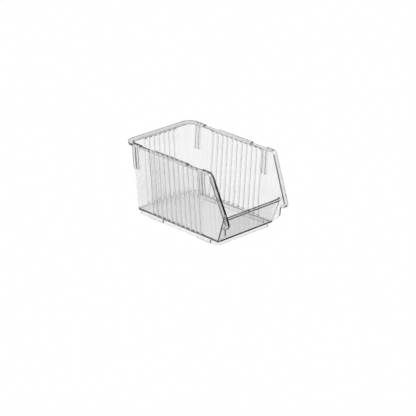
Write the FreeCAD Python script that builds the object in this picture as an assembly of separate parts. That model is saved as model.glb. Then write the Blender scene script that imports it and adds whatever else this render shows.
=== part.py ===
import FreeCAD, Part
import math
import os
from FreeCAD import Vector

# Open-front stacking bin, moulded in clear plastic. Millimetres, +Z up.
# X runs across the bin, the open front faces -Y, and Z = 0 is the surface it stands on.
# The origin is the middle of the bin's overall length and width.

# Shell
FLOOR_LENGTH = 153.6
FLOOR_WIDTH = 97.8
BODY_HEIGHT = 96.0
WALL = 1.9
DRAFT_ANGLE = 4.1
FRONT_LEAN_ANGLE = 20.5
FLOOR_CORNER_RADIUS = 5.0
PAN_HEIGHT = 4.5
PAN_FILLET = 2.2

# Vertical flutes: the walls zigzag, with rounded ridges and valleys
SIDE_FLUTE_PITCH = 9.0
REAR_FLUTE_PITCH = 8.5
FLUTE_PEAK = 1.8
FLUTE_RADIUS = 2.0
FLUTES_BEHIND = 33.5
FLUTES_AHEAD = 29.5
FLUTES_BESIDE = 22.2

# Rim
RIM_THICKNESS = 3.2
SIDE_OVERHANG = 3.9
REAR_OVERHANG = 6.6
RIM_CORNER_RADIUS = 15.0
NOTCH_LENGTH = 25.0
NOTCH_DEPTH = 1.6
NOTCH_RAMP = 3.2
REAR_NOTCH_SETBACK = 17.9
FRONT_NOTCH_SETBACK = 21.6

# Mouth: sloping front edges of the side walls, rounded noses and the lip
MOUTH_ANGLE = 22.6
MOUTH_TOP_RADIUS = 8.0
NOSE_REACH = 22.6
NOSE_RADIUS = 6.0
NOSE_HEIGHT = 24.3
CHEEK_REACH = 13.7
CHEEK_HEIGHT = 13.5
CHEEK_RADIUS = 4.0
LIP_HEIGHT = 37.0
LIP_THICKNESS = 2.0
LIP_OVERHANG = 3.7
LIP_END_RADIUS = 5.0

# Nesting ribs under the rim
RIB_THICKNESS = 1.3
RIB_SPACING = 5.8
RIB_LENGTH = 32.5
RIB_RECESS = 0.3
RIB_TOE_RADIUS = 1.5
REAR_RIB_SETBACK = 6.8
FRONT_RIB_SETBACK = 21.3

# Foot
FOOT_HEIGHT = 5.2
FOOT_INSET = 1.8
FOOT_CORNER_RADIUS = 6.0
PAD_EDGE_RADIUS = 0.8
PAD_LENGTH = 25.0
REAR_PAD_SETBACK = 24.8
FRONT_PAD_SETBACK = 14.6

# Heights of the parting levels
floor_under = FOOT_HEIGHT
floor_top = FOOT_HEIGHT + WALL
pan_top = FOOT_HEIGHT + PAN_HEIGHT
rim_top = FOOT_HEIGHT + BODY_HEIGHT
rim_under = rim_top - RIM_THICKNESS
nose_under = FOOT_HEIGHT + NOSE_HEIGHT
lip_top = FOOT_HEIGHT + LIP_HEIGHT

# Leans of the faces, as a run over a rise of one
draft = math.tan(math.radians(DRAFT_ANGLE))
front_lean = math.tan(math.radians(FRONT_LEAN_ANGLE))
mouth_lean = math.tan(math.radians(MOUTH_ANGLE))

# The overall length, from the noses to the rear rim, is centred on the origin
rear_reach = draft * BODY_HEIGHT + REAR_OVERHANG
overall_length = NOSE_REACH + FLOOR_LENGTH + rear_reach
floor_front = NOSE_REACH - overall_length / 2
floor_rear = floor_front + FLOOR_LENGTH

# Tools that cut or bound a piece reach this far past it
PAST = 20.0
# Points nearer than this are one point
TOUCHING = 1e-6
beyond_front = floor_front - NOSE_REACH - PAST


def half_width(z, offset=0.0):
    """Distance from the middle plane to a side wall's outer face at height z."""
    return FLOOR_WIDTH / 2 + draft * (z - floor_under) + offset


def rear_face(z, offset=0.0):
    """Y of the rear wall's outer face at height z."""
    return floor_rear + draft * (z - floor_under) + offset


def front_face(z):
    """Y of the front wall's outer face at height z."""
    return floor_front - front_lean * (z - floor_under)


def mouth_edge(z, inset=0.0):
    """Y of the sloping front edge at height z. It is tangent to the round nose."""
    nose_y = floor_front - NOSE_REACH + NOSE_RADIUS
    nose_z = nose_under + NOSE_RADIUS
    along = (NOSE_RADIUS - inset) / math.cos(math.radians(MOUTH_ANGLE))
    return nose_y - along + mouth_lean * (z - nose_z)


def rounded_face(corners):
    """A flat face through corners of (point, radius), with each corner rounded to its radius."""
    count = len(corners)
    spans = []
    for i, (point, radius) in enumerate(corners):
        before = (corners[i - 1][0] - point).normalize()
        after = (corners[(i + 1) % count][0] - point).normalize()
        if radius <= 0:
            spans.append((point, None, point))
            continue
        half = before.getAngle(after) / 2
        cut = radius / math.tan(half)
        middle = (before + after).normalize()
        crown = point + middle * (radius / math.sin(half) - radius)
        spans.append((point + before * cut, crown, point + after * cut))
    edges = []
    for i, (start, crown, end) in enumerate(spans):
        if crown:
            edges.append(Part.Arc(start, crown, end).toShape())
        following = spans[(i + 1) % count][0]
        if (following - end).Length > TOUCHING:
            edges.append(Part.LineSegment(end, following).toShape())
    return Part.Face(Part.Wire(edges))


def side_view(corners, x_from, x_to):
    """Solid whose outline in side view is corners of (y, z, radius)."""
    face = rounded_face([(Vector(x_from, y, z), r) for y, z, r in corners])
    return face.extrude(Vector(x_to - x_from, 0, 0))


def front_view(corners, y_from, y_to):
    """Solid whose outline in front view is corners of (x, z, radius)."""
    face = rounded_face([(Vector(x, y_from, z), r) for x, z, r in corners])
    return face.extrude(Vector(0, y_to - y_from, 0))


def plan_view(corners, z_from, z_to):
    """Solid whose outline in plan is corners of (x, y, radius)."""
    face = rounded_face([(Vector(x, y, z_from), r) for x, y, r in corners])
    return face.extrude(Vector(0, 0, z_to - z_from))


def drafted_block(z_from, z_to, side_offset, rear_offset, corner_radius):
    """Block with drafted sides and rear, cone-like rear corners and an open-ended front."""
    wires = []
    for z in (z_from, z_to):
        x = half_width(z, side_offset)
        y = rear_face(z, rear_offset)
        radius = corner_radius(z)
        outline = [(-x, beyond_front, 0), (-x, y, radius), (x, y, radius), (x, beyond_front, 0)]
        face = rounded_face([(Vector(px, py, z), r) for px, py, r in outline])
        wires.append(face.OuterWire)
    return Part.makeLoft(wires, True, True)


def wall_block(z_from, z_to, inset=0.0):
    """Drafted block bounded by the walls' outer faces, or by their inner faces with inset = WALL."""
    def corner(z):
        return FLOOR_CORNER_RADIUS + draft * (z - floor_under) - inset
    return drafted_block(z_from, z_to, -inset, -inset, corner)


def mirrored(shape):
    """The same piece for the other side of the bin."""
    return shape.mirror(Vector(0, 0, 0), Vector(1, 0, 0))


def floor_pan():
    """Floor with a low upstand, rounded inside where the floor turns up into the walls."""
    thickness = WALL / math.cos(math.radians(FRONT_LEAN_ANGLE))
    outside = wall_block(floor_under, pan_top)
    behind = rear_face(pan_top) + PAST
    ahead = [(front_face(floor_under), floor_under, 0), (behind, floor_under, 0),
             (behind, pan_top, 0), (front_face(pan_top), pan_top, 0)]
    outside = outside.common(side_view(ahead, -FLOOR_WIDTH, FLOOR_WIDTH))
    over = pan_top + PAST
    hollow = wall_block(floor_top, over, WALL)
    long_section = [(front_face(floor_top) + thickness, floor_top, PAN_FILLET),
                    (rear_face(floor_top, -WALL), floor_top, PAN_FILLET),
                    (rear_face(over, -WALL), over, 0),
                    (front_face(over) + thickness, over, 0)]
    cross_section = [(-half_width(floor_top, -WALL), floor_top, PAN_FILLET),
                     (half_width(floor_top, -WALL), floor_top, PAN_FILLET),
                     (half_width(over, -WALL), over, 0),
                     (-half_width(over, -WALL), over, 0)]
    hollow = hollow.common(side_view(long_section, -FLOOR_WIDTH, FLOOR_WIDTH))
    hollow = hollow.common(front_view(cross_section, beyond_front, behind))
    return outside.cut(hollow)


def flute_centres(first, last, pitch):
    """Evenly pitched flute centres, kept in the middle of the stretch from first to last."""
    count = 1 + int((last - first) / pitch)
    start = (first + last) / 2 - pitch * (count - 1) / 2
    return [start + pitch * i for i in range(count)]


def fluted_line(start, end, centres, place):
    """Corners of a line that zigzags out at each centre. place(s, out) gives the point."""
    half = (centres[1] - centres[0]) / 2
    corners = [(place(start, 0), 0)]
    for centre in centres:
        corners.append((place(centre - half, 0), FLUTE_RADIUS))
        corners.append((place(centre, FLUTE_PEAK), FLUTE_RADIUS))
    corners.append((place(centres[-1] + half, 0), FLUTE_RADIUS))
    corners.append((place(end, 0), 0))
    return corners


def fluted_wall(start, end, centres, place, lean):
    """Wall of even thickness whose plan is a fluted strip, drawn up along its lean."""
    outer = fluted_line(start, end, centres, place)
    inner = fluted_line(start, end, centres, lambda s, out: place(s, out - WALL))
    return rounded_face(outer + inner[::-1]).extrude(lean)


def cheek_outline(inset):
    """Side view of the mouth's front edge, from the nose's underside to the rim's top corner.

    With an inset, the same outline moved in by the thickness of the rim."""
    low = nose_under + inset
    high = rim_top - inset
    return [(mouth_edge(low, inset), low, NOSE_RADIUS - inset),
            (mouth_edge(high, inset), high, MOUTH_TOP_RADIUS - inset)]


def side_wall():
    """Left wall: fluted, with the sloping front edge, the nose and the cheek beside the lip."""
    rise = rim_under - pan_top
    corner_y = floor_rear - FLOOR_CORNER_RADIUS
    x = -half_width(pan_top)

    def place(y, out):
        return Vector(x - out, y, pan_top)

    centres = flute_centres(floor_front + FLUTES_AHEAD, floor_rear - FLUTES_BEHIND,
                            SIDE_FLUTE_PITCH)
    wall = fluted_wall(beyond_front, corner_y, centres, place, Vector(-draft * rise, 0, rise))
    cheek = floor_front - CHEEK_REACH
    low_nose, top_corner = cheek_outline(RIM_THICKNESS)
    outline = [(corner_y + PAST, pan_top, 0),
               (front_face(pan_top), pan_top, 0),
               (cheek, floor_under + CHEEK_HEIGHT, CHEEK_RADIUS),
               (cheek, low_nose[1], 0),
               low_nose,
               top_corner,
               (corner_y + PAST, rim_under, 0)]
    return wall.common(side_view(outline, -FLOOR_WIDTH, 0))


def rear_wall():
    """Fluted rear wall between the rounded corners."""
    rise = rim_under - pan_top
    corner_x = FLOOR_WIDTH / 2 - FLOOR_CORNER_RADIUS
    y = rear_face(pan_top)

    def place(x, out):
        return Vector(x, y + out, pan_top)

    reach = FLOOR_WIDTH / 2 - FLUTES_BESIDE
    centres = flute_centres(-reach, reach, REAR_FLUTE_PITCH)
    return fluted_wall(-corner_x, corner_x, centres, place, Vector(0, draft * rise, rise))


def rear_corner():
    """Left rear corner: a smooth quarter cone between the side and rear walls."""
    shell = wall_block(pan_top, rim_under).cut(wall_block(pan_top, rim_under, WALL))
    corner_x = FLOOR_WIDTH / 2 - FLOOR_CORNER_RADIUS
    corner_y = floor_rear - FLOOR_CORNER_RADIUS
    reach = FLOOR_CORNER_RADIUS + draft * BODY_HEIGHT + PAST
    column = Part.makeBox(reach, reach, rim_under - pan_top,
                          Vector(-corner_x - reach, corner_y, pan_top))
    return shell.common(column)


def front_wall():
    """Low front wall, leaning out between the two cheeks."""
    thickness = WALL / math.cos(math.radians(FRONT_LEAN_ANGLE))
    top = lip_top - LIP_THICKNESS
    section = [(front_face(pan_top), pan_top, 0), (front_face(pan_top) + thickness, pan_top, 0),
               (front_face(top) + thickness, top, 0), (front_face(top), top, 0)]
    panel = side_view(section, -FLOOR_WIDTH, FLOOR_WIDTH)
    return panel.common(wall_block(pan_top, top, WALL))


def front_lip():
    """Lip along the front wall's top, swept up at both ends into the cheeks."""
    thickness = WALL / math.cos(math.radians(FRONT_LEAN_ANGLE))
    under = lip_top - LIP_THICKNESS
    top = lip_top + LIP_END_RADIUS
    reach = half_width(top, PAST)
    inner_x = half_width(lip_top, -WALL)
    outline = [(-reach, under, 0), (reach, under, 0), (reach, top, 0),
               (inner_x, top, 0), (inner_x, lip_top, LIP_END_RADIUS),
               (-inner_x, lip_top, LIP_END_RADIUS), (-inner_x, top, 0), (-reach, top, 0)]
    behind = front_face(under) + thickness
    lip = front_view(outline, front_face(under) - LIP_OVERHANG, behind)
    return lip.common(wall_block(under, top, WALL))


def rim_ring(z_from, z_to):
    """Full-length rim: wall thickness and overhang together, before notches and joints."""
    outside = drafted_block(z_from, z_to, SIDE_OVERHANG, REAR_OVERHANG,
                            lambda z: RIM_CORNER_RADIUS)
    return outside.cut(wall_block(z_from, z_to, WALL))


def slab_between(y_from, y_to):
    """Everything between two heights of Y, as a cutting tool."""
    width = 2 * FLOOR_WIDTH
    height = rim_top + PAST
    return Part.makeBox(width, y_to - y_from, height, Vector(-width / 2, y_from, 0))


def notch(rear_end):
    """Shallow seat across the rim: a square step behind, a short ramp in front."""
    floor = rim_top - NOTCH_DEPTH
    over = rim_top + PAST
    front_end = rear_end - NOTCH_LENGTH
    slope = NOTCH_RAMP / NOTCH_DEPTH
    outline = [(rear_end, floor, 0), (rear_end, over, 0),
               (front_end - slope * PAST, over, 0), (front_end + NOTCH_RAMP, floor, 0)]
    return side_view(outline, -FLOOR_WIDTH, FLOOR_WIDTH)


rear_notch_end = floor_rear - REAR_NOTCH_SETBACK
front_notch_end = floor_front + FRONT_NOTCH_SETBACK


def rim_rear():
    """Raised rim round the rear wall, as far as the rear notches."""
    return rim_ring(rim_under, rim_top).common(slab_between(rear_notch_end, floor_rear + 2 * PAST))


def rim_side():
    """Left rim between the rear and the mouth, with its two notches."""
    bar = rim_ring(rim_under, rim_top).common(slab_between(front_notch_end, rear_notch_end))
    bar = bar.cut(notch(rear_notch_end)).cut(notch(front_notch_end + NOTCH_LENGTH))
    left = Part.makeBox(FLOOR_WIDTH, 2 * FLOOR_LENGTH, rim_top + PAST,
                        Vector(-FLOOR_WIDTH, -FLOOR_LENGTH, 0))
    return bar.common(left)


def mouth_rim():
    """Left rim that turns down the sloping front edge and ends in the round nose."""
    cheek = floor_front - CHEEK_REACH
    low_nose, top_corner = cheek_outline(0.0)
    low_inner, top_inner = cheek_outline(RIM_THICKNESS)
    outline = [(cheek, nose_under, 0), low_nose, top_corner,
               (front_notch_end, rim_top, 0), (front_notch_end, rim_under, 0),
               top_inner, low_inner, (cheek, low_inner[1], 0)]
    band = side_view(outline, -FLOOR_WIDTH, 0)
    low, high = nose_under, rim_top
    slab = [(-half_width(low, SIDE_OVERHANG), low, 0), (-half_width(low, -WALL), low, 0),
            (-half_width(high, -WALL), high, 0), (-half_width(high, SIDE_OVERHANG), high, 0)]
    return band.common(front_view(slab, beyond_front, floor_rear))


def rib(centre_y):
    """One thin upright rib under the left rim, standing on the wall's outer face."""
    low = rim_under - RIB_LENGTH
    out = SIDE_OVERHANG - RIB_RECESS
    outline = [(-half_width(low, out), low, RIB_TOE_RADIUS), (-half_width(low, -WALL), low, 0),
               (-half_width(rim_under, -WALL), rim_under, 0),
               (-half_width(rim_under, out), rim_under, 0)]
    start = centre_y - RIB_THICKNESS / 2
    plate = front_view(outline, start, start + RIB_THICKNESS)
    return plate.cut(wall_block(low - PAST, rim_under))


def foot_ring():
    """Upright ring under the floor's edge that the bin stands on."""
    x = FLOOR_WIDTH / 2 - FOOT_INSET
    front, rear = floor_front + FOOT_INSET, floor_rear - FOOT_INSET

    def plug(inset):
        radius = FOOT_CORNER_RADIUS - inset
        corners = [(-x + inset, front + inset, radius), (x - inset, front + inset, radius),
                   (x - inset, rear - inset, radius), (-x + inset, rear - inset, radius)]
        return plan_view(corners, 0, FOOT_HEIGHT)

    return plug(0).cut(plug(WALL))


def foot_pad(rear_end):
    """Pad on the left of the foot ring that brings it out flush with the wall."""
    x = FLOOR_WIDTH / 2
    outline = [(-x, 0, PAD_EDGE_RADIUS), (-x + FOOT_INSET, 0, 0),
               (-x + FOOT_INSET, FOOT_HEIGHT, 0), (-x, FOOT_HEIGHT, 0)]
    return front_view(outline, rear_end - PAD_LENGTH, rear_end)


def rib_places():
    """Name and Y of each rib on one side, from the rear to the front."""
    rear = floor_rear - REAR_RIB_SETBACK
    front = floor_front + FRONT_RIB_SETBACK
    half = RIB_SPACING / 2
    return [("rear_a", rear + half), ("rear_b", rear - half),
            ("front_a", front + half), ("front_b", front - half)]


def sub_parts():
    """Every sub-part by name. What stands on one side is drawn on the left and mirrored."""
    parts = {
        "floor_pan": floor_pan(),
        "foot_ring": foot_ring(),
        "front_wall": front_wall(),
        "front_lip": front_lip(),
        "rear_wall": rear_wall(),
        "rim_rear": rim_rear(),
    }
    one_side = {
        "side_wall": side_wall(),
        "rear_corner": rear_corner(),
        "rim": rim_side(),
        "mouth_rim": mouth_rim(),
        "foot_pad_rear": foot_pad(floor_rear - REAR_PAD_SETBACK),
        "foot_pad_front": foot_pad(floor_front + FRONT_PAD_SETBACK + PAD_LENGTH),
    }
    for name, y in rib_places():
        one_side["nest_rib_" + name] = rib(y)
    for name, shape in one_side.items():
        parts[name + "_left"] = shape
        parts[name + "_right"] = mirrored(shape)
    return parts


os.makedirs("parts", exist_ok=True)
for name, shape in sub_parts().items():
    solids = shape.Solids
    piece = solids[0] if len(solids) == 1 else Part.makeCompound(solids)
    piece.exportStep(os.path.join("parts", name + ".step"))
    box = piece.BoundBox
    print(f"{name}: {len(solids)} solid, {piece.Volume / 1000:.2f} cm3, valid {piece.isValid()}, "
          f"x {box.XMin:.1f} to {box.XMax:.1f}, y {box.YMin:.1f} to {box.YMax:.1f}, "
          f"z {box.ZMin:.1f} to {box.ZMax:.1f}")
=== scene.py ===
# %% [markdown]
# # A clear stacking bin
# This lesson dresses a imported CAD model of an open-front stacking bin in Blender. The real bin is
# one injection moulding in clear plastic: a floor, fluted walls that widen upwards, a rim that
# turns down the front slope, a low scoop lip, nesting ribs and a foot ring.
#
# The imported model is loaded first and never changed. It gives the exact heights and reaches.

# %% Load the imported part
import math
import bmesh
import bpy
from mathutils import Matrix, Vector


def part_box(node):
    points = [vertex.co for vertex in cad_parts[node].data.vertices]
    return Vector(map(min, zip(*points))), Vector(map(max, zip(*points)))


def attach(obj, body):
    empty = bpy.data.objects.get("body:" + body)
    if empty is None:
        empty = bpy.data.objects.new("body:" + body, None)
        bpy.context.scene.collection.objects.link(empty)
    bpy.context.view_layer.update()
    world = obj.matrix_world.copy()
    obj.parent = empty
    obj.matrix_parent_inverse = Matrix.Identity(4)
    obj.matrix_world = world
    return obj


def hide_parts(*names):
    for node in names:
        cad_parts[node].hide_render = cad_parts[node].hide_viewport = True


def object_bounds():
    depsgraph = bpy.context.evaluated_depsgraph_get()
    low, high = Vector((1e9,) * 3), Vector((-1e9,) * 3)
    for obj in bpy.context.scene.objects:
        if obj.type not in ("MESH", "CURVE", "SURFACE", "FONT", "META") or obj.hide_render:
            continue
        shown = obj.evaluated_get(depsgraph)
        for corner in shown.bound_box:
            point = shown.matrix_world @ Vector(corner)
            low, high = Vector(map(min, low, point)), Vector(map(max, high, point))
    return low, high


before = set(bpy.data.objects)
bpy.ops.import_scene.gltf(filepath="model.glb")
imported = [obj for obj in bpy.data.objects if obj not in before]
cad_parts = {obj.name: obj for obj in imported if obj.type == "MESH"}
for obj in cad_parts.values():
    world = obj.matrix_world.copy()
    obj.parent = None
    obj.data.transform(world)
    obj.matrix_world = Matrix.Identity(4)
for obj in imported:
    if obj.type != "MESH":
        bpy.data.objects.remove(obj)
cad_low, cad_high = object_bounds()
print("packed part", len(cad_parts), "nodes, size", cad_high - cad_low)

# %% [markdown]
# ## Sizes of the moulding
# Blender works in metres, and plastic parts are measured in millimetres, so one value turns the
# one into the other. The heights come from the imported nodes. What no node shows by itself, such
# as a wall's thickness or its draft, is a named size. Draft is the slight outward lean that lets
# a moulding leave its tool, and it is also what lets such bins nest in each other.

# %% Heights, reaches and thicknesses
MM = 0.001
WALL = 1.9 * MM
DRAFT = math.tan(math.radians(4.1))
FRONT_LEAN = math.tan(math.radians(20.5))
MOUTH_ANGLE = math.radians(22.6)
SIDE_OVERHANG = 3.9 * MM
REAR_OVERHANG = 6.6 * MM
NOSE_REACH = 22.6 * MM
CORNER_RADIUS = 5 * MM

floor_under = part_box("floor_pan")[0].z
rim_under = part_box("rim_rear")[0].z
rim_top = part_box("rim_rear")[1].z
nose_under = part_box("mouth_rim_left")[0].z
lip_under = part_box("front_lip")[0].z
floor_front = cad_low.y + NOSE_REACH
floor_rear = cad_high.y - REAR_OVERHANG - DRAFT * (rim_top - floor_under)
floor_half = cad_high.x - SIDE_OVERHANG - DRAFT * (rim_top - floor_under)
corner_x = floor_half - CORNER_RADIUS
corner_y = floor_rear - CORNER_RADIUS
print("floor", 2 * floor_half, "x", floor_rear - floor_front, "rim at", rim_top)

# %% [markdown]
# ## Where the faces are
# Every face of the bin follows a rule: at a height z, a side wall is so far from the middle and
# the rear wall so far back. Small functions give these places, so that each piece below asks
# them and fits its neighbours. An offset moves the answer outwards, a negative one inwards.

# %% The faces as functions of height
def half_width(z, offset=0.0):
    """Distance from the middle plane to a side wall's outer face."""
    return floor_half + DRAFT * (z - floor_under) + offset


def rear_face(z, offset=0.0):
    """Y of the rear wall's outer face."""
    return floor_rear + DRAFT * (z - floor_under) + offset


def front_face(z, offset=0.0):
    """Y of the leaning front wall's outer face."""
    return floor_front - FRONT_LEAN * (z - floor_under) - offset


def corner_radius(z, offset=0.0):
    """Radius of a rear corner. It grows with the draft, so the corner is part of a cone."""
    return CORNER_RADIUS + DRAFT * (z - floor_under) + offset


print("half width at the floor", half_width(floor_under), "and at the rim", half_width(rim_top))

# %% [markdown]
# ## Helpers that make solids
# Nearly every part of a moulding is a section carried along a path, so the main helper makes a
# closed solid through a row of equal rings of points. Two more make the rings: one turns the
# corners of an outline into true arcs, the other softens the corners of a small section. A
# moulding has no knife edges, and it is the softened edges that catch the light in clear plastic.

# %% Rings of points
ARC_STEPS = 8
EDGE_STEPS = 4


def rounded(corners, steps=ARC_STEPS):
    """Points of an outline through corners of (u, v, radius), each corner made an arc."""
    outline = []
    for i, (u, v, radius) in enumerate(corners):
        here = Vector((u, v))
        if radius <= 0:
            outline.append(here)
            continue
        before = (Vector(corners[i - 1][:2]) - here).normalized()
        after = (Vector(corners[(i + 1) % len(corners)][:2]) - here).normalized()
        half = before.angle(after) / 2
        centre = here + (before + after).normalized() * (radius / math.sin(half))
        start = here + before * (radius / math.tan(half)) - centre
        end = here + after * (radius / math.tan(half)) - centre
        turn = start.angle(end)
        for k in range(steps + 1):
            t = k / steps
            swing = start * math.sin((1 - t) * turn) + end * math.sin(t * turn)
            outline.append(centre + swing / math.sin(turn))
    return outline


def softened(corners, radii, steps=EDGE_STEPS):
    """Ring of points through corners, each corner softened over its radius."""
    ring = []
    for i, (here, radius) in enumerate(zip(corners, radii)):
        if radius <= 0:
            ring.append(here)
            continue
        before = (corners[i - 1] - here).normalized() * radius
        after = (corners[(i + 1) % len(corners)] - here).normalized() * radius
        for k in range(steps + 1):
            t = k / steps
            ring.append(here + before * (1 - t) ** 2 + after * t ** 2)
    return ring


print("arcs in", ARC_STEPS, "steps, softened edges in", EDGE_STEPS)

# %% Solids through rings
def loft(name, rings, looped=False):
    """Closed solid through equal rings, with its faces turned outwards."""
    count = len(rings[0])
    spans = len(rings) if looped else len(rings) - 1
    faces = []
    for i in range(spans):
        a, b = i * count, (i + 1) % len(rings) * count
        faces += [(a + k, a + (k + 1) % count, b + (k + 1) % count, b + k) for k in range(count)]
    if not looped:
        faces += [range(count), range((len(rings) - 1) * count, len(rings) * count)]
    mesh = bpy.data.meshes.new(name)
    mesh.from_pydata([p for ring in rings for p in ring], [], [tuple(f) for f in faces])
    tidy = bmesh.new()
    tidy.from_mesh(mesh)
    bmesh.ops.recalc_face_normals(tidy, faces=tidy.faces)
    tidy.to_mesh(mesh)
    tidy.free()
    solid = bpy.data.objects.new(name, mesh)
    bpy.context.scene.collection.objects.link(solid)
    return solid


def across(name, outline, reach):
    """Solid whose side view is an outline of (y, z), from -reach to reach across the bin."""
    return loft(name, [[Vector((x, y, z)) for y, z in outline] for x in (-reach, reach)])


# %% [markdown]
# ## The walls, still plain
# Three sides of the bin are one strip of wall that goes from the left front, round the two rear
# corners, to the right front. It is made as a strip seen from above, with an outer and an inner
# line, and drawn up through a few heights. Where flutes will come, its points are close together.
# Each point keeps four attributes that the next step reads: which way is outwards, how far it is
# from the first flute, counted in flutes, the number of the last flute, and its share of a
# flute's depth. The inner face has a smaller share, so ridges are a little thicker than valleys.

# %% Stations along the wall strip
SIDE_PITCH = 9.0 * MM
REAR_PITCH = 8.5 * MM
FLUTES_BEHIND = 33.5 * MM
FLUTES_AHEAD = 29.5 * MM
FLUTES_BESIDE = 22.2 * MM
STEPS_PER_FLUTE = 20
PAST = 20 * MM


def flute_row(first, last, pitch):
    """First centre and count of flutes, kept in the middle of the stretch from first to last."""
    count = 1 + int((last - first) / pitch)
    return (first + last) / 2 - pitch * (count - 1) / 2, count


def stretch(start, end, first, count, pitch):
    """Places along one wall: its ends, and close steps where the flutes are."""
    step = pitch / STEPS_PER_FLUTE
    low = first - pitch / 2
    return [start] + [low + step * k for k in range(count * STEPS_PER_FLUTE + 1)] + [end]


side_first, side_count = flute_row(floor_front + FLUTES_AHEAD, floor_rear - FLUTES_BEHIND,
                                   SIDE_PITCH)
reach = floor_half - FLUTES_BESIDE
rear_first, rear_count = flute_row(-reach, reach, REAR_PITCH)
side_places = stretch(cad_low.y - PAST, corner_y, side_first, side_count, SIDE_PITCH)
rear_places = stretch(-corner_x, corner_x, rear_first, rear_count, REAR_PITCH)
print("flutes on each side", side_count, "and behind", rear_count)


# %% Every station of the strip
CORNER_STEPS = 14
NO_FLUTES = -1.0


def strip_stations():
    """(place function, outward, along, last flute) for each station from left front to right."""
    stations = []
    for y in side_places:
        stations.append((lambda z, out, y=y: Vector((-half_width(z, out), y, z)),
                         Vector((-1, 0, 0)), (y - side_first) / SIDE_PITCH, side_count - 1))
    for k in range(1, CORNER_STEPS):
        angle = math.pi * (1 - k / CORNER_STEPS / 2)
        way = Vector((math.cos(angle), math.sin(angle), 0))
        stations.append((lambda z, out, way=way: Vector((-corner_x, corner_y, z))
                         + way * corner_radius(z, out), way, 0.0, NO_FLUTES))
    for x in rear_places:
        stations.append((lambda z, out, x=x: Vector((x, rear_face(z, out), z)),
                         Vector((0, 1, 0)), (x - rear_first) / REAR_PITCH, rear_count - 1))
    for k in range(1, CORNER_STEPS):
        angle = math.pi / 2 * (1 - k / CORNER_STEPS)
        way = Vector((math.cos(angle), math.sin(angle), 0))
        stations.append((lambda z, out, way=way: Vector((corner_x, corner_y, z))
                         + way * corner_radius(z, out), way, 0.0, NO_FLUTES))
    for y in reversed(side_places):
        stations.append((lambda z, out, y=y: Vector((half_width(z, out), y, z)),
                         Vector((1, 0, 0)), (y - side_first) / SIDE_PITCH, side_count - 1))
    return stations


stations = strip_stations()
print("wall strip", len(stations), "stations")

# %% [markdown]
# ## The strip drawn up
# The strip is drawn up from just above the floor's underside to just inside the rim. The flutes
# grow in over a short height above the floor and fade out again under the rim, so the levels
# stand close together there, and between them the wall is straight and needs only one.

# %% The wall strip as a solid
FLUTE_FOOT = 6.5 * MM
FLUTE_FADE = 1.6 * MM
FADE_LEVELS = 5
WALL_LIFT = 0.6 * MM
EMBED = 1 * MM


def fade_levels(start):
    """Close levels over the height in which the flutes grow or fade."""
    return [start + FLUTE_FADE * k / FADE_LEVELS for k in range(FADE_LEVELS + 1)]


levels = ([floor_under + WALL_LIFT] + fade_levels(FLUTE_FOOT) + [(FLUTE_FOOT + rim_under) / 2]
          + fade_levels(rim_under - FLUTE_FADE) + [rim_under + EMBED])
walls = loft("plain_walls", [[place(z, 0.0) for place, *_ in stations]
                             + [place(z, -WALL) for place, *_ in reversed(stations)]
                             for z in levels])
print("wall strip", len(walls.data.vertices), "points in", len(levels), "levels")

# %% What each point of the strip keeps
INNER_SHARE = 0.9
KEPT = {"outward": "FLOAT_VECTOR", "along": "FLOAT", "last_flute": "FLOAT", "share": "FLOAT"}
kept = walls.data.attributes
for name, kind in KEPT.items():
    kept.new(name, kind, "POINT")
ring_stations = stations + stations[::-1]
for i in range(len(walls.data.vertices)):
    station = i % len(ring_stations)
    _, way, distance, number = ring_stations[station]
    kept["outward"].data[i].vector = way
    kept["along"].data[i].value = distance
    kept["last_flute"].data[i].value = number
    kept["share"].data[i].value = 1.0 if station < len(stations) else INNER_SHARE
print("attributes", ", ".join(a.name for a in kept if not a.is_internal))

# %% [markdown]
# ## Helpers for node trees
# Materials, the sky and Geometry Nodes are all trees of nodes. One helper adds a node of any kind
# with its settings and links. Another makes a Geometry Nodes tree with named inputs, which can be
# tried by hand in Blender, and a third runs it and keeps the mesh.

# %% Helpers for node trees
def add_node(tree, kind, inputs=None, **settings):
    """Adds a node. An input is a value or what feeds it: a socket, or a node by its first output.

    A list holds several feeds, for a socket that takes many.
    """
    node = tree.nodes.new(kind)
    for name, value in settings.items():
        setattr(node, name, value)
    for key, given_value in (inputs or {}).items():
        for value in given_value if isinstance(given_value, list) else [given_value]:
            if isinstance(value, bpy.types.Node):
                value = value.outputs[0]
            if isinstance(value, bpy.types.NodeSocket):
                tree.links.new(value, node.inputs[key])
            else:
                node.inputs[key].default_value = value
    return node


def new_tree(name, sockets):
    """Geometry Nodes tree with named inputs of (name, kind), and one Geometry output."""
    tree = bpy.data.node_groups.new(name, "GeometryNodeTree")
    for label, kind in sockets:
        tree.interface.new_socket(label, in_out="INPUT", socket_type=kind)
    tree.interface.new_socket("Geometry", in_out="OUTPUT", socket_type="NodeSocketGeometry")
    inputs = tree.nodes.new("NodeGroupInput")
    output = tree.nodes.new("NodeGroupOutput")
    return tree, inputs.outputs, output.inputs


def run_tree(solid, tree, values):
    """Runs a tree on an object with values by input name, and returns the plain mesh it makes."""
    modifier = solid.modifiers.new(tree.name, "NODES")
    modifier.node_group = tree
    for item in tree.interface.items_tree:
        if item.in_out == "INPUT" and item.name in values:
            modifier[item.identifier] = values[item.name]
    evaluated = solid.evaluated_get(bpy.context.evaluated_depsgraph_get())
    mesh = bpy.data.meshes.new_from_object(evaluated)
    solid.modifiers.remove(modifier)
    return mesh


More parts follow.
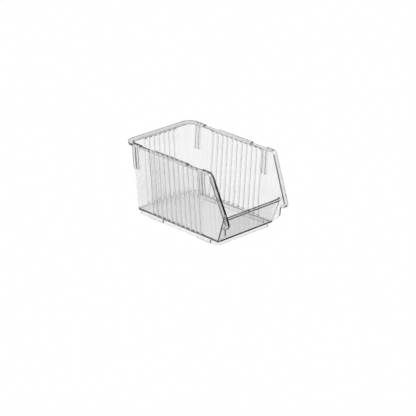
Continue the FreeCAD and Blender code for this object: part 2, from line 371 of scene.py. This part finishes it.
# %% [markdown]
# ## What the plastic is
# Such bins are moulded in clear general-purpose polystyrene, a hard glassy plastic from a
# polished steel tool. To the eye that means: no colour of its own, strong lines at every bend
# because it bends light more than most plastics, and a grey that deepens where light travels
# far inside a wall. So the surface is a glassy one with polystyrene's refractive index and
# almost no roughness, and the solid inside it takes away a little grey light on the way. Through
# a wall that is hardly seen, but light led along a wall or a rim comes out as a dark line. The
# tint is clear, apart from a few small faces that are painted grey: painted shade for the dark
# lines that bent light draws along the ribs' outer edges and the seats' steps. They carry that
# painted shade as a value, which is set further on, and a Mix node reads it. That node has
# sockets for numbers before those for colours, so its colours are inputs 6 and 7 and its result
# is output 2.

# %% The clear polystyrene
POLYSTYRENE_INDEX = 1.59
POLISHED = 0.015
LOST_COLOUR = "#bcbcbc"
LOST_PER_METRE = 84.0
CLEAR = "#ffffff"
# Painted shade: the grey painted on a few edges for the dark lines that bent light draws there.
PAINTED_SHADE = "#505050"


def linear(hex_colour):
    """Linear colour of an sRGB hex value."""
    values = [int(hex_colour[i:i + 2], 16) / 255 for i in (1, 3, 5)]
    return (*[v / 12.92 if v <= 0.04045 else ((v + 0.055) / 1.055) ** 2.4 for v in values], 1.0)


def surface(name, colour, **settings):
    """A named material on the Principled shader."""
    material = bpy.data.materials.new(name)
    material.use_nodes = True
    shader = material.node_tree.nodes["Principled BSDF"]
    shader.inputs["Base Color"].default_value = linear(colour)
    for label, value in settings.items():
        shader.inputs[label.replace("_", " ")].default_value = value
    return material


polystyrene = surface("clear_moulded_polystyrene", CLEAR, Roughness=POLISHED,
                      IOR=POLYSTYRENE_INDEX, Transmission_Weight=1.0)
plastic = polystyrene.node_tree
inside = add_node(plastic, "ShaderNodeVolumeAbsorption",
                  {"Color": linear(LOST_COLOUR), "Density": LOST_PER_METRE})
plastic.links.new(inside.outputs[0], plastic.nodes["Material Output"].inputs["Volume"])
# A face value paints shade: the tint turns grey on the faces that it marks.
painted_shade_input = add_node(plastic, "ShaderNodeAttribute", attribute_name="painted_shade")
tint = add_node(plastic, "ShaderNodeMix", {0: painted_shade_input.outputs["Fac"], 6: linear(CLEAR),
                                           7: linear(PAINTED_SHADE)}, data_type="RGBA")
plastic.links.new(tint.outputs[2], plastic.nodes["Principled BSDF"].inputs["Base Color"])
print("material", polystyrene.name)

# %% [markdown]
# ## The flutes, by a rule in Geometry Nodes
# Flutes are upright waves that make a thin wall stiff. They repeat, so a Geometry Nodes tree
# makes them: it finds the nearest flute centre of every point, works out how far into the wave
# the point is, and moves it outwards. Modelling one flute and copying it would leave joints in a
# wall that has none. The wave is a zigzag with rounded ridges and valleys: an arcsine of a cosine
# is a sharp zigzag, and the flatness, which stays below one, says how sharp the turns are.

# %% The flute tree
FLUTE_DEPTH = 1.5 * MM
FLUTE_FLATNESS = 0.985
HALF_FLUTE = 0.5

tree, given, result = new_tree("flutes", [
    ("Geometry", "NodeSocketGeometry"), ("Flatness", "NodeSocketFloat"),
    ("Depth", "NodeSocketFloat"), ("Foot", "NodeSocketFloat"), ("Head", "NodeSocketFloat"),
    ("Fade", "NodeSocketFloat"), ("Material", "NodeSocketMaterial")])
print("flutes", FLUTE_DEPTH, "deep, inputs", ", ".join(s.name for s in given if s.name))

# %% The wave of a flute
MATHS = "ShaderNodeMath"
read = {name: add_node(tree, "GeometryNodeInputNamedAttribute", {"Name": name},
                       data_type=kind).outputs["Attribute"] for name, kind in KEPT.items()}
number = add_node(tree, MATHS, {0: read["along"]}, operation="ROUND")
number = add_node(tree, MATHS, {0: number, 1: read["last_flute"]}, operation="MINIMUM")
number = add_node(tree, MATHS, {0: number, 1: 0.0}, operation="MAXIMUM")
off_centre = add_node(tree, MATHS, {0: read["along"], 1: number}, operation="SUBTRACT")
off_centre = add_node(tree, MATHS, {0: off_centre}, operation="ABSOLUTE")
phase = add_node(tree, MATHS, {0: off_centre, 1: HALF_FLUTE}, operation="MINIMUM")
phase = add_node(tree, MATHS, {0: phase, 1: 2 * math.pi}, operation="MULTIPLY")
wave = add_node(tree, MATHS, {0: phase}, operation="COSINE")
wave = add_node(tree, MATHS, {0: wave, 1: given["Flatness"]}, operation="MULTIPLY")
wave = add_node(tree, MATHS, {0: wave}, operation="ARCSINE")
crest = add_node(tree, MATHS, {0: given["Flatness"]}, operation="ARCSINE")
wave = add_node(tree, MATHS, {0: wave, 1: crest}, operation="DIVIDE")
wave = add_node(tree, MATHS, {0: wave, 1: 1.0}, operation="ADD")
wave = add_node(tree, MATHS, {0: wave, 1: 2.0}, operation="DIVIDE")
has_flutes = add_node(tree, MATHS, {0: read["last_flute"], 1: NO_FLUTES / 2},
                      operation="GREATER_THAN")
print("the wave takes", len(tree.nodes), "nodes")

# %% Its fading ends, and the push outwards
place = add_node(tree, "GeometryNodeInputPosition")
height = add_node(tree, "ShaderNodeSeparateXYZ", {0: place}).outputs["Z"]
above = add_node(tree, MATHS, {0: height, 1: given["Foot"]}, operation="SUBTRACT")
below = add_node(tree, MATHS, {0: given["Head"], 1: height}, operation="SUBTRACT")
inside_ends = add_node(tree, MATHS, {0: above, 1: below}, operation="MINIMUM")
inside_ends = add_node(tree, MATHS, {0: inside_ends, 1: given["Fade"]}, operation="DIVIDE")
grown = add_node(tree, "ShaderNodeMapRange", {"Value": inside_ends},
                 interpolation_type="SMOOTHSTEP")
bulge = given["Depth"]
for factor in (wave, has_flutes, grown, read["share"]):
    bulge = add_node(tree, MATHS, {0: bulge, 1: factor}, operation="MULTIPLY")
push = add_node(tree, "ShaderNodeVectorMath", {0: read["outward"], "Scale": bulge},
                operation="SCALE")
moved = add_node(tree, "GeometryNodeSetPosition", {"Geometry": given["Geometry"],
                                                   "Offset": push})
real = add_node(tree, "GeometryNodeRealizeInstances", {0: moved})
dressed = add_node(tree, "GeometryNodeSetMaterial", {"Geometry": real,
                                                     "Material": given["Material"]})
tree.links.new(dressed.outputs[0], result["Geometry"])
walls.data = run_tree(walls, tree, {
    "Flatness": FLUTE_FLATNESS, "Depth": FLUTE_DEPTH, "Foot": FLUTE_FOOT, "Head": rim_under,
    "Fade": FLUTE_FADE, "Material": polystyrene})
print("fluted walls", len(walls.data.polygons), "faces")

# %% [markdown]
# ## The side view that trims the walls
# Seen from the side, the front of each wall slopes back from a round nose up to the rim, and
# below the nose it steps back as a cheek to the leaning front wall. One outline holds all of
# this. The wall strip is cut to it further on, and the same outline, without the cheek, is the
# path of the rim, because the rim follows that edge. One extra point on the slope marks the place
# from where the rim's inner edge is rounded more, because a stacked bin slides over the nose.

# %% Nose, slope and cheek
NOSE_RADIUS = 6 * MM
MOUTH_TOP_RADIUS = 8 * MM
CHEEK_REACH = 13.7 * MM
CHEEK_HEIGHT = 13.5 * MM
CHEEK_RADIUS = 4 * MM
RIM_THICKNESS = rim_top - rim_under
HAIR = 0.03 * MM
NOSE_SOFT_BELOW = 43 * MM
cheek_y = floor_front - CHEEK_REACH


def mouth_edge(z, inset):
    """Y of the sloping front edge. It is tangent to the round nose."""
    nose_y = floor_front - NOSE_REACH + NOSE_RADIUS
    nose_z = nose_under + NOSE_RADIUS
    run = (NOSE_RADIUS - inset) / math.cos(MOUTH_ANGLE)
    return nose_y - run + math.tan(MOUTH_ANGLE) * (z - nose_z)


def mouth_outline(inset):
    """Side view of the mouth from the cheek to the rear corner, moved in by an inset."""
    low, high = nose_under + inset, rim_top - inset
    return [(cheek_y, low, 0),
            (mouth_edge(low, inset), low, NOSE_RADIUS - inset),
            (mouth_edge(NOSE_SOFT_BELOW, inset), NOSE_SOFT_BELOW, 0),
            (mouth_edge(high, inset), high, MOUTH_TOP_RADIUS - inset),
            (corner_y, high, 0)]


wall_view = mouth_outline(RIM_THICKNESS - EMBED)
wall_view[-1] = (corner_y + 2 * PAST, rim_top, 0)
wall_view += [(corner_y + 2 * PAST, 0, 0), (front_face(0, HAIR), 0, 0),
              (front_face(FLUTE_FOOT, HAIR), FLUTE_FOOT, 0),
              (cheek_y, floor_under + CHEEK_HEIGHT, CHEEK_RADIUS)]
trim = across("wall_outline", rounded(wall_view), cad_high.x + PAST)
print("wall outline", len(trim.data.vertices) // 2, "points")

# %% [markdown]
# ## The floor pan
# The floor turns up into the walls with a small fillet inside, which keeps small parts from
# jamming in a sharp corner. It is one loft: up the outside, over the top inside the walls'
# thickness, down the fillet and across the floor. Its outside lies a hair inside the wall's, so
# that joining the two never has to sort out faces that lie exactly on each other. The lower edge
# is only just broken: the floor plate seen edge-on is what draws the dark line round the base.

# %% The pan as rings seen from above
FLOOR_THICKNESS = 1.9 * MM
FILLET = 2.2 * MM
FRONT_CORNER = 1 * MM
PAN_EDGE = 0.25 * MM
FILLET_STEPS = 6


def plan_ring(z, inset):
    """Outline of the floor's plan at a height, moved in by an inset."""
    x, rear, front = half_width(z, -inset), rear_face(z, -inset), front_face(z, -inset)
    rear_radius = max(corner_radius(z, -inset), FRONT_CORNER)
    corners = [(-x, front, FRONT_CORNER), (x, front, FRONT_CORNER),
               (x, rear, rear_radius), (-x, rear, rear_radius)]
    return [Vector((u, v, z)) for u, v in rounded(corners)]


floor_top = floor_under + FLOOR_THICKNESS
pan_rings = [plan_ring(floor_under, PAN_EDGE), plan_ring(floor_under + PAN_EDGE, HAIR),
             plan_ring(floor_top + FILLET, HAIR)]
for k in range(FILLET_STEPS + 1):
    angle = math.pi / 2 * k / FILLET_STEPS
    pan_rings.append(plan_ring(floor_top + FILLET * (1 - math.sin(angle)),
                               WALL - HAIR + FILLET * (1 - math.cos(angle))))
pan = loft("floor_pan_solid", pan_rings)
print("floor pan", len(pan_rings), "rings")

# %% [markdown]
# ## The front wall and its lip
# The low front wall leans out between the cheeks. Along its top runs a lip, a small shelf that
# keeps fingers off the wall's edge, and at both ends it curls up into the cheeks. The lip is a
# softened section carried across the bin, which rises along a quarter circle at each end and
# keeps its thickness, while the part of the front wall under it grows with it.

# %% Front wall
LIP_THICKNESS = 2 * MM
LIP_OVERHANG = 3.7 * MM
LIP_SWEEP = 5 * MM
LIP_STEPS = 10
LIP_EDGE = 0.25 * MM
MIDDLE = WALL / 2
front_thickness = WALL / math.cos(math.atan(FRONT_LEAN))
lip_top = lip_under + LIP_THICKNESS


def front_ring(z):
    """Section of the front wall at a height, ending inside the cheeks."""
    x, y = half_width(z, -MIDDLE), front_face(z)
    return [Vector((-x, y, z)), Vector((x, y, z)),
            Vector((x, y + front_thickness, z)), Vector((-x, y + front_thickness, z))]


front_wall = loft("front_wall_solid", [front_ring(floor_under + WALL_LIFT),
                                       front_ring(lip_under + EMBED)])
print("front wall", 2 * half_width(lip_under, -MIDDLE), "wide at its top")

# %% Lip
sweep_start = half_width(lip_top, -WALL) - LIP_SWEEP
wall_front = front_face(lip_under) + HAIR
lip_front = front_face(lip_under) - LIP_OVERHANG
lip_rear = front_face(lip_under) + front_thickness


def lip_rise(x):
    """How far the lip rises at a distance from the middle."""
    past = min(max(x - sweep_start, 0.0), LIP_SWEEP)
    return LIP_SWEEP - math.sqrt(LIP_SWEEP ** 2 - past ** 2)


def lip_ring(x):
    """Softened section of the lip at x, with the part of the front wall that rises under it."""
    under, top = lip_under + lip_rise(abs(x)), lip_top + lip_rise(abs(x))
    corners = [Vector((x, lip_front, under)), Vector((x, wall_front, under)),
               Vector((x, wall_front, lip_under - HAIR)), Vector((x, lip_rear, lip_under - HAIR)),
               Vector((x, lip_rear, top)), Vector((x, lip_front, top))]
    return softened(corners, [LIP_EDGE, 0, 0, 0, LIP_EDGE, LIP_EDGE])


lip_end = half_width(lip_under, -MIDDLE)
sweep_places = [sweep_start + LIP_SWEEP * math.sin(math.pi / 2 * k / LIP_STEPS)
                for k in range(LIP_STEPS + 1)]
lip_places = [p for p in sweep_places if p < lip_end] + [lip_end]
lip_places = [-p for p in reversed(lip_places)] + lip_places
lip = loft("front_lip_solid", [lip_ring(x) for x in lip_places])
print("lip", 2 * lip_end, "long, top at", lip_top)

# %% [markdown]
# ## The rim
# The rim is the flange round the top. At the front it turns down the slope and ends in the
# round nose, so its path is the mouth outline on one side, the rear, and the outline again. Each
# station gives the four corners of the section, and these are softened. All are nearly crisp, the
# outer top one a little less, because hands meet it. A crisp edge of a clear plate draws the fine
# dark line that runs along the rim in the picture. Down by the nose the inner edge is rounded
# more. The corners follow the drafted walls by the functions above, so the rim leans with them.

# %% Sections along the rim
RIM_CORNER_RADIUS = 15 * MM
RIM_ROUND = 0.35 * MM
RIM_EDGE = 0.25 * MM
NOSE_EDGE = 1.2 * MM
RIM_CORNER_STEPS = 12
inner_offset = -WALL - HAIR


def rim_section(corners, inner_edge=RIM_EDGE):
    """Softened section from corners in the order outer top, inner top, inner low, outer low."""
    return softened(corners, [RIM_ROUND, inner_edge, RIM_EDGE, RIM_EDGE])


def side_section(top, low):
    """Left rim's section between two (y, z) points of the mouth outline."""
    inner_edge = NOSE_EDGE if top.y < NOSE_SOFT_BELOW - HAIR else RIM_EDGE
    return rim_section([Vector((-half_width(top.y, SIDE_OVERHANG), top.x, top.y)),
                        Vector((-half_width(top.y, inner_offset), top.x, top.y)),
                        Vector((-half_width(low.y, inner_offset), low.x, low.y)),
                        Vector((-half_width(low.y, SIDE_OVERHANG), low.x, low.y))], inner_edge)


def corner_section(angle):
    """Left rear corner's section, at an angle from the side towards the rear."""
    way = Vector((-math.cos(angle), math.sin(angle), 0))

    def outer(z):
        x = half_width(z, SIDE_OVERHANG) - RIM_CORNER_RADIUS
        y = rear_face(z, REAR_OVERHANG) - RIM_CORNER_RADIUS
        return Vector((-x, y, z)) + way * RIM_CORNER_RADIUS

    def inner(z):
        return Vector((-corner_x, corner_y, z)) + way * corner_radius(z, inner_offset)

    return rim_section([outer(rim_top), inner(rim_top), inner(rim_under), outer(rim_under)])


print("rim section", len(corner_section(0.0)), "points")

# %% The rim's path and solid
top_line = rounded(mouth_outline(0.0))
low_line = rounded(mouth_outline(RIM_THICKNESS))
top_line[0].x = low_line[0].x = cheek_y + HAIR
left_half = [side_section(top, low) for top, low in zip(top_line, low_line)]
left_half += [corner_section(math.pi / 2 * k / RIM_CORNER_STEPS)
              for k in range(RIM_CORNER_STEPS + 1)]
right_half = [[Vector((-p.x, p.y, p.z)) for p in ring] for ring in reversed(left_half)]
rim = loft("rim_solid", left_half + right_half)
print("rim", len(left_half) * 2, "sections")

# %% [markdown]
# ## The seats in the rim
# Two shallow seats are let into the rim on each side, for the pads of a bin stacked on top. A
# seat ends in a square step at the rear and a short ramp at the front. They are cut out later
# with these blocks, each as wide as the whole bin, so one block cuts the left and right seat.

# %% Blocks for the seats
SEAT_LENGTH = 25 * MM
SEAT_DEPTH = 1.6 * MM
SEAT_RAMP = 3.2 * MM
REAR_SEAT_SETBACK = 17.9 * MM
FRONT_SEAT_SETBACK = 21.6 * MM


def seat_block(name, rear_end):
    """Cutting block for the seats whose rear step is at rear_end."""
    low = rim_top - SEAT_DEPTH
    front_end = rear_end - SEAT_LENGTH
    run = SEAT_RAMP / SEAT_DEPTH * PAST
    view = [(rear_end, low, 0), (rear_end, low + PAST, 0),
            (front_end - run + SEAT_RAMP, low + PAST, 0), (front_end + SEAT_RAMP, low, SEAT_DEPTH)]
    return across(name, rounded(view), cad_high.x + PAST)


seats_rear = seat_block("rear_seats", floor_rear - REAR_SEAT_SETBACK)
seats_front = seat_block("front_seats", floor_front + FRONT_SEAT_SETBACK + SEAT_LENGTH)
print("seats", SEAT_LENGTH, "long and", SEAT_DEPTH, "deep")

# %% [markdown]
# ## The foot ring
# The bin stands on an upright ring under its floor, a little inside the walls. Seen from above
# it is a rounded rectangle, so its section is carried round that as a closed loop. Only its
# lower corners are softened: the upper ones are inside the floor.

# %% Ring round the floor
FOOT_INSET = 1.8 * MM
FOOT_CORNER = 6 * MM
FOOT_EDGE = 0.4 * MM


def foot_outline(inset):
    """Plan of the foot ring, moved in by an inset."""
    x, front, rear = floor_half - inset, floor_front + inset, floor_rear - inset
    radius = FOOT_CORNER + FOOT_INSET - inset
    return rounded([(-x, front, radius), (x, front, radius),
                    (x, rear, radius), (-x, rear, radius)])


def foot_ring_section(outer, inner):
    """Section of the ring between an outer and an inner plan point."""
    top = floor_under + EMBED
    corners = [Vector((*outer, 0)), Vector((*inner, 0)),
               Vector((*inner, top)), Vector((*outer, top))]
    return softened(corners, [FOOT_EDGE, FOOT_EDGE, 0, 0])


ring_pairs = zip(foot_outline(FOOT_INSET), foot_outline(FOOT_INSET + WALL))
foot = loft("foot_ring_solid", [foot_ring_section(a, b) for a, b in ring_pairs], looped=True)
print("foot ring", len(foot.data.polygons), "faces")

# %% [markdown]
# ## Ribs and pads, repeated by nodes
# Eight thin ribs stand under the rim in pairs. When bins are nested, the ribs of one come to
# rest on the rim of the next and stop it from jamming. Four pads bring the foot ring out flush
# with the walls. A rib meets the wall in small fillets, as a tool maker leaves them so that the
# plastic flows in. Each is the same shape at several places, so one rib and one pad are
# modelled, and a tree sets copies along Y, in groups, and mirrors them to the other side.

# %% One rib
RIB_THICKNESS = 1.3 * MM
RIB_SPACING = 5.8 * MM
RIB_LENGTH = 32.5 * MM
RIB_RECESS = 0.3 * MM
RIB_TOE = 1.5 * MM
RIB_EDGE = 0.5 * MM
RIB_FILLET = 0.5 * MM
RIB_STEPS = 5
REAR_RIB_SETBACK = 6.8 * MM
FRONT_RIB_SETBACK = 21.3 * MM
front_rib = floor_front + FRONT_RIB_SETBACK - RIB_SPACING / 2
rib_foot = rim_under - RIB_LENGTH


def rib_ring(z, cut_back):
    """Section of the foremost left rib at a height, its outer edge cut back by a distance."""
    outer = half_width(z, SIDE_OVERHANG - RIB_RECESS - cut_back)
    root, inner = half_width(z, -HAIR), half_width(z, -MIDDLE)
    half = RIB_THICKNESS / 2
    side = [(-outer, half), (-root, half),
            (-root, half + RIB_FILLET), (-inner, half + RIB_FILLET)]
    corners = [(x, -y) for x, y in side] + side[::-1]
    radii = [RIB_EDGE, RIB_FILLET, 0, 0, 0, 0, RIB_FILLET, RIB_EDGE]
    return softened([Vector((x, front_rib + y, z)) for x, y in corners], radii)


toe = [math.pi / 2 * k / RIB_STEPS for k in range(RIB_STEPS + 1)]
rib_rings = [rib_ring(rib_foot + RIB_TOE * (1 - math.cos(a)), RIB_TOE * (1 - math.sin(a)))
             for a in toe]
rib = loft("one_rib", rib_rings + [rib_ring(rim_under + EMBED, 0.0)])
print("rib", RIB_LENGTH, "long")

# %% One pad
PAD_LENGTH = 25 * MM
PAD_EDGE = 0.8 * MM
REAR_PAD_SETBACK = 24.8 * MM
FRONT_PAD_SETBACK = 14.6 * MM
front_pad = floor_front + FRONT_PAD_SETBACK


def pad_ring(y):
    """Section of a left pad."""
    outer, inner = floor_half, floor_half - FOOT_INSET - MIDDLE
    top = floor_under + EMBED
    corners = [Vector((-outer, y, 0)), Vector((-inner, y, 0)),
               Vector((-inner, y, top)), Vector((-outer + HAIR, y, top))]
    return softened(corners, [PAD_EDGE, 0, 0, 0])


pad = loft("one_pad", [pad_ring(front_pad), pad_ring(front_pad + PAD_LENGTH)])
print("pad", PAD_LENGTH, "long")

# %% The tree that repeats them
tree, given, result = new_tree("repeat_and_mirror", [
    ("Geometry", "NodeSocketGeometry"), ("In group", "NodeSocketInt"),
    ("Spacing", "NodeSocketFloat"), ("Groups", "NodeSocketInt"),
    ("Group spacing", "NodeSocketFloat"), ("Material", "NodeSocketMaterial")])


def row_of_copies(tree, geometry, count, spacing):
    """Copies of a geometry in a row along Y."""
    step = add_node(tree, "ShaderNodeCombineXYZ", {"Y": spacing})
    line = add_node(tree, "GeometryNodeMeshLine", {"Count": count, "Offset": step})
    return add_node(tree, "GeometryNodeInstanceOnPoints", {"Points": line, "Instance": geometry})


group = row_of_copies(tree, given["Geometry"], given["In group"], given["Spacing"])
groups = row_of_copies(tree, group, given["Groups"], given["Group spacing"])
real = add_node(tree, "GeometryNodeRealizeInstances", {0: groups})
other_side = add_node(tree, "GeometryNodeTransform", {"Geometry": real, "Scale": (-1, 1, 1)})
turned = add_node(tree, "GeometryNodeFlipFaces", {0: other_side})
both = add_node(tree, "GeometryNodeJoinGeometry", {0: [real, turned]})
all_real = add_node(tree, "GeometryNodeRealizeInstances", {0: both})
dressed = add_node(tree, "GeometryNodeSetMaterial", {"Geometry": all_real,
                                                     "Material": given["Material"]})
tree.links.new(dressed.outputs[0], result["Geometry"])
print("repeating tree", len(tree.nodes), "nodes")

# %% All ribs and pads
rib_group_spacing = (floor_rear - REAR_RIB_SETBACK) - (floor_front + FRONT_RIB_SETBACK)
rib.data = run_tree(rib, tree, {"In group": 2, "Spacing": RIB_SPACING, "Groups": 2,
                                "Group spacing": rib_group_spacing, "Material": polystyrene})
pad_spacing = (floor_rear - REAR_PAD_SETBACK - PAD_LENGTH) - front_pad
pad.data = run_tree(pad, tree, {"In group": 1, "Spacing": 0.0, "Groups": 2,
                                "Group spacing": pad_spacing, "Material": polystyrene})
print("ribs and pads", len(rib.data.polygons), "and", len(pad.data.polygons), "faces")

# %% [markdown]
# ## One moulding
# Clear plastic shows every surface inside it, so solids that only overlap would show as glassy
# sheets within the wall. The real bin has none. A last tree therefore trims the walls, cuts the
# seats and unites everything into one closed skin, which is the only way to make light pass
# through it as through the real piece.

# %% The tree that unites the solids
BOOLEAN = "GeometryNodeMeshBoolean"
solids = {"Walls": walls, "Wall outline": trim, "Rim": rim, "Rear seats": seats_rear,
          "Front seats": seats_front, "Pan": pan, "Front wall": front_wall, "Lip": lip,
          "Foot": foot, "Ribs": rib, "Pads": pad}
tree, given, result = new_tree("one_moulding", [
    ("Geometry", "NodeSocketGeometry"), *[(name, "NodeSocketObject") for name in solids],
    ("Material", "NodeSocketMaterial")])
part = {name: add_node(tree, "GeometryNodeObjectInfo",
                       {"Object": given[name]}).outputs["Geometry"] for name in solids}
cut_walls = add_node(tree, BOOLEAN, {"Mesh 2": [part["Walls"], part["Wall outline"]]},
                     operation="INTERSECT", solver="MANIFOLD")
cut_rim = add_node(tree, BOOLEAN, {"Mesh 1": part["Rim"],
                                   "Mesh 2": [part["Rear seats"], part["Front seats"]]},
                   operation="DIFFERENCE", solver="MANIFOLD")
rest = [part[name] for name in ("Pan", "Front wall", "Lip", "Foot", "Ribs", "Pads")]
united = add_node(tree, BOOLEAN, {"Mesh 2": [cut_walls, cut_rim, *rest]},
                  operation="UNION", solver="MANIFOLD")
real = add_node(tree, "GeometryNodeRealizeInstances", {0: united})
dressed = add_node(tree, "GeometryNodeSetMaterial", {"Geometry": real,
                                                     "Material": given["Material"]})
tree.links.new(dressed.outputs[0], result["Geometry"])
print("uniting tree", len(tree.nodes), "nodes")

# %% Run the uniting tree
carrier = bpy.data.objects.new("carrier", bpy.data.meshes.new("carrier"))
bpy.context.scene.collection.objects.link(carrier)
moulding_mesh = run_tree(carrier, tree, {**solids, "Material": polystyrene})
for helper in [*solids.values(), carrier]:
    bpy.data.objects.remove(helper)
print("moulding", len(moulding_mesh.vertices), "points", len(moulding_mesh.polygons), "faces")

# %% [markdown]
# ## A clean mesh
# Where several solids met, the union can leave points that lie a few thousandths of a millimetre
# apart, and slivers of faces between them. They would shade as specks, so they are merged. The
# count of open edges shows that the skin is closed, without which the light inside would be wrong.

# %% Clean the mesh
WELD = 0.004 * MM
clean = bmesh.new()
clean.from_mesh(moulding_mesh)
bmesh.ops.remove_doubles(clean, verts=clean.verts, dist=WELD)
bmesh.ops.dissolve_degenerate(clean, edges=clean.edges, dist=WELD)
open_edges = sum(not edge.is_manifold for edge in clean.edges)
clean.to_mesh(moulding_mesh)
clean.free()
print("open edges", open_edges)

# %% [markdown]
# ## Painted shade on the ribs' edges and the seats' steps
# In the photograph the ribs' outer edges and the steps of the seats are dark, from the dark lines
# that bent light draws at such narrow edges of clear plastic. Why is a guess: the wide faces of a
# mould are polished, but the bottom of a rib's narrow slot and a small step are hard to reach,
# and stay dull. A grey tint is painted on these faces as painted shade for those lines. The skin
# keeps one material, because the light lost inside belongs to one closed solid, and the tint
# reads a value on each face. The union keeps no names, so these faces are found by where they
# are.

# %% Painted shade on the ribs' outer edges and the seats' steps
SIDEWAYS = 0.7
rib_places = [front_rib + group + step for group in (0, rib_group_spacing)
              for step in (0, RIB_SPACING)]
seat_steps = [floor_rear - REAR_SEAT_SETBACK,
              floor_front + FRONT_SEAT_SETBACK + SEAT_LENGTH]


def is_painted_shade(face):
    """Whether a face gets painted shade: it is on a rib's outer edge or is the step of a seat."""
    x, y, z = face.center
    if rib_foot < z < rim_under:
        on_rib = min(abs(y - place) for place in rib_places) < RIB_THICKNESS / 2 + HAIR
        outside = abs(x) > half_width(z, SIDE_OVERHANG / 2)
        return on_rib and outside and abs(face.normal.y) < SIDEWAYS
    return z > rim_top - SEAT_DEPTH and min(abs(y - step) for step in seat_steps) < HAIR


# Each face found gets painted shade, the value that turns the tint grey.
grey = moulding_mesh.attributes.new("painted_shade", "FLOAT", "FACE")
painted_shade_count = 0
for face in moulding_mesh.polygons:
    if is_painted_shade(face):
        grey.data[face.index].value = 1.0
        painted_shade_count += 1
print("unpolished faces", painted_shade_count)

# %% [markdown]
# ## Shading the moulding
# Curved stretches should shade smoothly and real edges should stay crisp, so edges that turn by
# more than a set angle are marked sharp. Flat faces win where they meet a softened edge: a
# Weighted Normal modifier lets the larger face decide, as on a real flat wall. The bin throws no
# shadow: thin clear walls hardly do, and a plain shadow would stand round the base as a grey halo.

# %% The finished piece
SHARP_TURN = math.radians(32)
for face in moulding_mesh.polygons:
    face.use_smooth = True
moulding_mesh.set_sharp_from_angle(angle=SHARP_TURN)
bin_piece = bpy.data.objects.new("clear_bin", moulding_mesh)
bpy.context.scene.collection.objects.link(bin_piece)
weighted = bin_piece.modifiers.new("flat faces win", "WEIGHTED_NORMAL")
weighted.keep_sharp = True
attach(bin_piece, "root")
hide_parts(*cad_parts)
bin_piece.visible_shadow = False
bin_piece.visible_diffuse = False
print("clear_bin replaces", len(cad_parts), "nodes")

# %% [markdown]
# ## Floor and light
# Clear plastic has no look of its own: it shows its surroundings. Photographers set it on a
# white ground, which shines through the thin walls, put a white sheet up behind it and keep the
# rest of the room darker, so that every edge, which bends light from the room, draws itself as a
# grey line. The same is done here with a pale floor and a sky that is bright overhead, white low
# down behind the bin and dark low down in front. The flanks of the flutes mirror the white sheet,
# which gives the bright upright bands. Reflections see the sky alone, as under a light tent.

# %% Pale floor
FLOOR_REACH = 6.0
PAPER_ROUGHNESS = 0.9
ground = bpy.data.meshes.new("ground")
square = [(-1, -1), (1, -1), (1, 1), (-1, 1)]
ground.from_pydata([(FLOOR_REACH * x, FLOOR_REACH * y, 0) for x, y in square], [], [(0, 1, 2, 3)])
ground.materials.append(surface("matt_white_paper", "#f4f4f4", Roughness=PAPER_ROUGHNESS,
                                Specular_IOR_Level=0.0))
floor_piece = bpy.data.objects.new("ground", ground)
bpy.context.scene.collection.objects.link(floor_piece)
floor_piece.visible_glossy = False
print("floor", 2 * FLOOR_REACH, "m wide")

# %% Soft sky
DIM_BELOW = 0.15
OVERHEAD_LIGHT = 1.78
REAR_LIGHT = 1.2
REAR_REACH = 0.8
REAR_HEIGHT = 0.35
world = bpy.data.worlds.new("studio")
world.use_nodes = True
bpy.context.scene.world = world
sky = world.node_tree
way = add_node(sky, "ShaderNodeTexCoord").outputs["Generated"]
looking = add_node(sky, "ShaderNodeSeparateXYZ", {0: way}).outputs
overhead = add_node(sky, "ShaderNodeMapRange", {
    "Value": looking["Z"], "From Min": DIM_BELOW, "To Max": OVERHEAD_LIGHT})
to_the_rear = add_node(sky, "ShaderNodeMapRange", {
    "Value": looking["Y"], "From Max": REAR_REACH, "To Max": REAR_LIGHT})
low_down = add_node(sky, "ShaderNodeMapRange", {
    "Value": looking["Z"], "From Max": REAR_HEIGHT, "To Min": 1.0, "To Max": 0.0})
rear = add_node(sky, MATHS, {0: to_the_rear, 1: low_down}, operation="MULTIPLY")
light = add_node(sky, MATHS, {0: overhead, 1: rear}, operation="ADD")
sky.links.new(light.outputs[0], sky.nodes["Background"].inputs["Strength"])
sky.nodes["Background"].inputs["Color"].default_value = (1.0, 1.0, 1.0, 1.0)
bpy.context.scene.view_settings.view_transform = "Standard"
print("sky", OVERHEAD_LIGHT, "overhead and", REAR_LIGHT, "low down behind")

# %% [markdown]
# ## The camera
# The camera looks down at the open front from the left with a long lens, as catalogue pictures
# are taken, so that upright edges stay nearly upright. It is placed by its angle and its
# distance from the point that it looks at.

# %% Camera at the catalogue angle
AZIMUTH = math.radians(-43.53)
ELEVATION = math.radians(22.71)
DISTANCE = 2.491
LENS = 166.05
AIM = Vector((-6.8, -9.9, 22.2)) * MM
back = Vector((math.sin(AZIMUTH) * math.cos(ELEVATION), -math.cos(AZIMUTH) * math.cos(ELEVATION),
               math.sin(ELEVATION)))
camera = bpy.data.objects.new("camera", bpy.data.cameras.new("camera"))
camera.data.lens = LENS
camera.data.clip_start = 0.1
camera.location = AIM + back * DISTANCE
camera.rotation_euler = (-back).to_track_quat("-Z", "Y").to_euler()
bpy.context.scene.collection.objects.link(camera)
bpy.context.scene.camera = camera
print("camera", DISTANCE, "m away, lens", LENS)

# %% [markdown]
# ## The CAD box
# The dressed bin must stay inside the CAD model's box. The last line writes that box down.

# %% The CAD box
print("CAD box", cad_low, cad_high)
